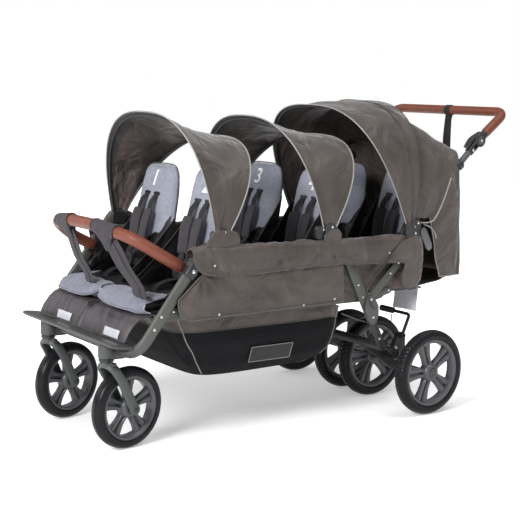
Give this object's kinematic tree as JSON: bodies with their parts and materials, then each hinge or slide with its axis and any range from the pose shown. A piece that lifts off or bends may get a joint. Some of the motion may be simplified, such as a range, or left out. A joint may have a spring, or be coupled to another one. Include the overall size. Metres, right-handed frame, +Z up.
{
  "type": "six-seat stroller",
  "caption": "Folding stroller with three rows of paired seats, tilting canopies, slung basket, leather handlebar and bumper bar, swivelling front casters and a row of rear wheels.",
  "frame": {"origin": "on the floor, under the middle of the overall box", "axes": "+Z up, front of the stroller and its casters at -Y, handlebar at +Y, +X to the side of seats 2, 4 and 6"},
  "size_m": [0.762, 1.5972, 1.0465],
  "materials": {
    "frame_metal": "satin grey-green powder coat",
    "black_plastic": "fine matt",
    "rim_plastic": "satin moulded",
    "tyre_rubber": "ribbed matt",
    "brown_leather": "stitched, slightly glossy",
    "taupe_fabric": "crinkled nylon",
    "grey_fabric": "woven heather",
    "charcoal_fabric": "woven matt",
    "mesh_fabric": "open mesh"
  },
  "bodies": {
    "chassis": {"front_frame": "frame_metal", "top_rail_left": "frame_metal", "top_rail_right": "frame_metal", "seat_frame": "frame_metal", "caster_housing_left": "frame_metal", "caster_housing_right": "frame_metal", "bumper_socket_left": "black_plastic", "bumper_socket_right": "black_plastic", "handle_socket_left": "black_plastic", "handle_socket_right": "black_plastic", "handle_tube_left": "frame_metal", "handle_tube_right": "frame_metal", "handle_joint_left": "black_plastic", "handle_joint_right": "black_plastic", "footboard": "black_plastic", "front_panel": "charcoal_fabric", "basket": "mesh_fabric", "side_panel_left": "taupe_fabric", "side_panel_right": "taupe_fabric", "seat_floor": "charcoal_fabric", "seat_cushion_row_1": "grey_fabric", "seat_cushion_row_2": "grey_fabric", "seat_cushion_row_3": "grey_fabric", "rear_hood": "taupe_fabric", "release_cable": "black_plastic"},
    "caster_left": {"caster_fork_left": "frame_metal"},
    "front_wheel_left": {"front_rim_left": "rim_plastic", "front_tyre_left": "tyre_rubber"},
    "lock_lever_left": {"swivel_lock_left": "black_plastic"},
    "caster_right": {"caster_fork_right": "frame_metal"},
    "front_wheel_right": {"front_rim_right": "rim_plastic", "front_tyre_right": "tyre_rubber"},
    "lock_lever_right": {"swivel_lock_right": "black_plastic"},
    "rear_undercarriage": {"rear_leg_left": "frame_metal", "rear_leg_right": "frame_metal", "rear_axle": "black_plastic"},
    "fold_struts": {"fold_strut_left": "frame_metal", "fold_strut_right": "frame_metal"},
    "strut_links": {"strut_link_left": "frame_metal", "strut_link_right": "frame_metal"},
    "rear_wheel_outer_left": {"rear_rim_outer_left": "rim_plastic", "rear_tyre_outer_left": "tyre_rubber"},
    "rear_wheel_inner_left": {"rear_rim_inner_left": "rim_plastic", "rear_tyre_inner_left": "tyre_rubber"},
    "rear_wheel_inner_right": {"rear_rim_inner_right": "rim_plastic", "rear_tyre_inner_right": "tyre_rubber"},
    "rear_wheel_outer_right": {"rear_rim_outer_right": "rim_plastic", "rear_tyre_outer_right": "tyre_rubber"},
    "brake": {"brake_pedal": "black_plastic"},
    "handle": {"handlebar": "brown_leather"},
    "bumper": {"bumper_bar": "brown_leather"},
    "hood_1": {"canopy_1": "taupe_fabric"},
    "hood_2": {"canopy_2": "taupe_fabric"},
    "hood_3": {"canopy_3": "taupe_fabric"},
    "backrest_1": {"seat_back_1": "grey_fabric"},
    "backrest_2": {"seat_back_2": "grey_fabric"},
    "backrest_3": {"seat_back_3": "grey_fabric"},
    "backrest_4": {"seat_back_4": "grey_fabric"},
    "backrest_5": {"seat_back_5": "grey_fabric"},
    "backrest_6": {"seat_back_6": "grey_fabric"}
  },
  "joints": [
    {"name": "caster_swivel_left", "type": "hinge", "parent": "chassis", "child": "caster_left", "pos_m": [0.187, -0.7542, 0.262], "axis": [0, 0, 1], "continuous": true},
    {"name": "front_wheel_spin_left", "type": "hinge", "parent": "caster_left", "child": "front_wheel_left", "pos_m": [0.17504, -0.6751, 0.1236], "axis": [0.9888, 0.1495, 0], "continuous": true},
    {"name": "swivel_lock_slide_left", "type": "slide", "parent": "chassis", "child": "lock_lever_left", "axis": [0, 0, 1], "range_m": [0, 0.008]},
    {"name": "caster_swivel_right", "type": "hinge", "parent": "chassis", "child": "caster_right", "pos_m": [-0.187, -0.7542, 0.262], "axis": [0, 0, 1], "continuous": true},
    {"name": "front_wheel_spin_right", "type": "hinge", "parent": "caster_right", "child": "front_wheel_right", "pos_m": [-0.20635, -0.67658, 0.1236], "axis": [0.9703, 0.2419, 0], "continuous": true},
    {"name": "swivel_lock_slide_right", "type": "slide", "parent": "chassis", "child": "lock_lever_right", "axis": [0, 0, 1], "range_m": [0, 0.008]},
    {"name": "rear_fold", "type": "hinge", "parent": "chassis", "child": "rear_undercarriage", "pos_m": [0, 0.0558, 0.548], "axis": [1, 0, 0], "range_deg": [0, 15]},
    {"name": "strut_pivot", "type": "hinge", "parent": "chassis", "child": "fold_struts", "pos_m": [0, 0.2778, 0.52], "axis": [1, 0, 0], "range_deg": [0, 2.25]},
    {"name": "link_pivot", "type": "hinge", "parent": "rear_undercarriage", "child": "strut_links", "pos_m": [0, 0.1688, 0.343], "axis": [1, 0, 0], "range_deg": [0, 43.05]},
    {"name": "rear_wheel_spin_outer_left", "type": "hinge", "parent": "rear_undercarriage", "child": "rear_wheel_outer_left", "pos_m": [0.358, 0.3908, 0.1445], "axis": [1, 0, 0], "continuous": true},
    {"name": "rear_wheel_spin_inner_left", "type": "hinge", "parent": "rear_undercarriage", "child": "rear_wheel_inner_left", "pos_m": [0.068, 0.3908, 0.1445], "axis": [1, 0, 0], "continuous": true},
    {"name": "rear_wheel_spin_inner_right", "type": "hinge", "parent": "rear_undercarriage", "child": "rear_wheel_inner_right", "pos_m": [-0.068, 0.3908, 0.1445], "axis": [1, 0, 0], "continuous": true},
    {"name": "rear_wheel_spin_outer_right", "type": "hinge", "parent": "rear_undercarriage", "child": "rear_wheel_outer_right", "pos_m": [-0.358, 0.3908, 0.1445], "axis": [1, 0, 0], "continuous": true},
    {"name": "brake_press", "type": "hinge", "parent": "rear_undercarriage", "child": "brake", "pos_m": [0.213, 0.3868, 0.246], "axis": [-1, 0, 0], "range_deg": [0, 18]},
    {"name": "handle_angle", "type": "hinge", "parent": "chassis", "child": "handle", "pos_m": [0, 0.6528, 0.9235], "axis": [-1, 0, 0], "range_deg": [-20, 70]},
    {"name": "bumper_tilt", "type": "hinge", "parent": "chassis", "child": "bumper", "pos_m": [0, -0.5372, 0.549], "axis": [-1, 0, 0], "range_deg": [0, 50]},
    {"name": "canopy_tilt_1", "type": "hinge", "parent": "chassis", "child": "hood_1", "pos_m": [0, -0.4392, 0.648], "axis": [-1, 0, 0], "range_deg": [0, 35]},
    {"name": "canopy_tilt_2", "type": "hinge", "parent": "chassis", "child": "hood_2", "pos_m": [0, -0.0282, 0.648], "axis": [-1, 0, 0], "range_deg": [0, 35]},
    {"name": "canopy_tilt_3", "type": "hinge", "parent": "chassis", "child": "hood_3", "pos_m": [0, 0.3368, 0.648], "axis": [-1, 0, 0], "range_deg": [0, 10]},
    {"name": "seat_recline_1", "type": "hinge", "parent": "chassis", "child": "backrest_1", "pos_m": [-0.15, -0.41728, 0.436], "axis": [-1, 0, 0], "range_deg": [0, 12]},
    {"name": "seat_recline_2", "type": "hinge", "parent": "chassis", "child": "backrest_2", "pos_m": [0.15, -0.41728, 0.436], "axis": [-1, 0, 0], "range_deg": [0, 12]},
    {"name": "seat_recline_3", "type": "hinge", "parent": "chassis", "child": "backrest_3", "pos_m": [-0.15, 0.00072, 0.436], "axis": [-1, 0, 0], "range_deg": [0, 12]},
    {"name": "seat_recline_4", "type": "hinge", "parent": "chassis", "child": "backrest_4", "pos_m": [0.15, 0.00072, 0.436], "axis": [-1, 0, 0], "range_deg": [0, 12]},
    {"name": "seat_recline_5", "type": "hinge", "parent": "chassis", "child": "backrest_5", "pos_m": [-0.15, 0.38472, 0.436], "axis": [-1, 0, 0], "range_deg": [0, 12]},
    {"name": "seat_recline_6", "type": "hinge", "parent": "chassis", "child": "backrest_6", "pos_m": [0.15, 0.38472, 0.436], "axis": [-1, 0, 0], "range_deg": [0, 12]}
  ],
  "couplings": [
    {"joint": "strut_pivot", "follows": "rear_fold", "ratio": 0.15},
    {"joint": "link_pivot", "follows": "rear_fold", "ratio": 2.87}
  ]
}
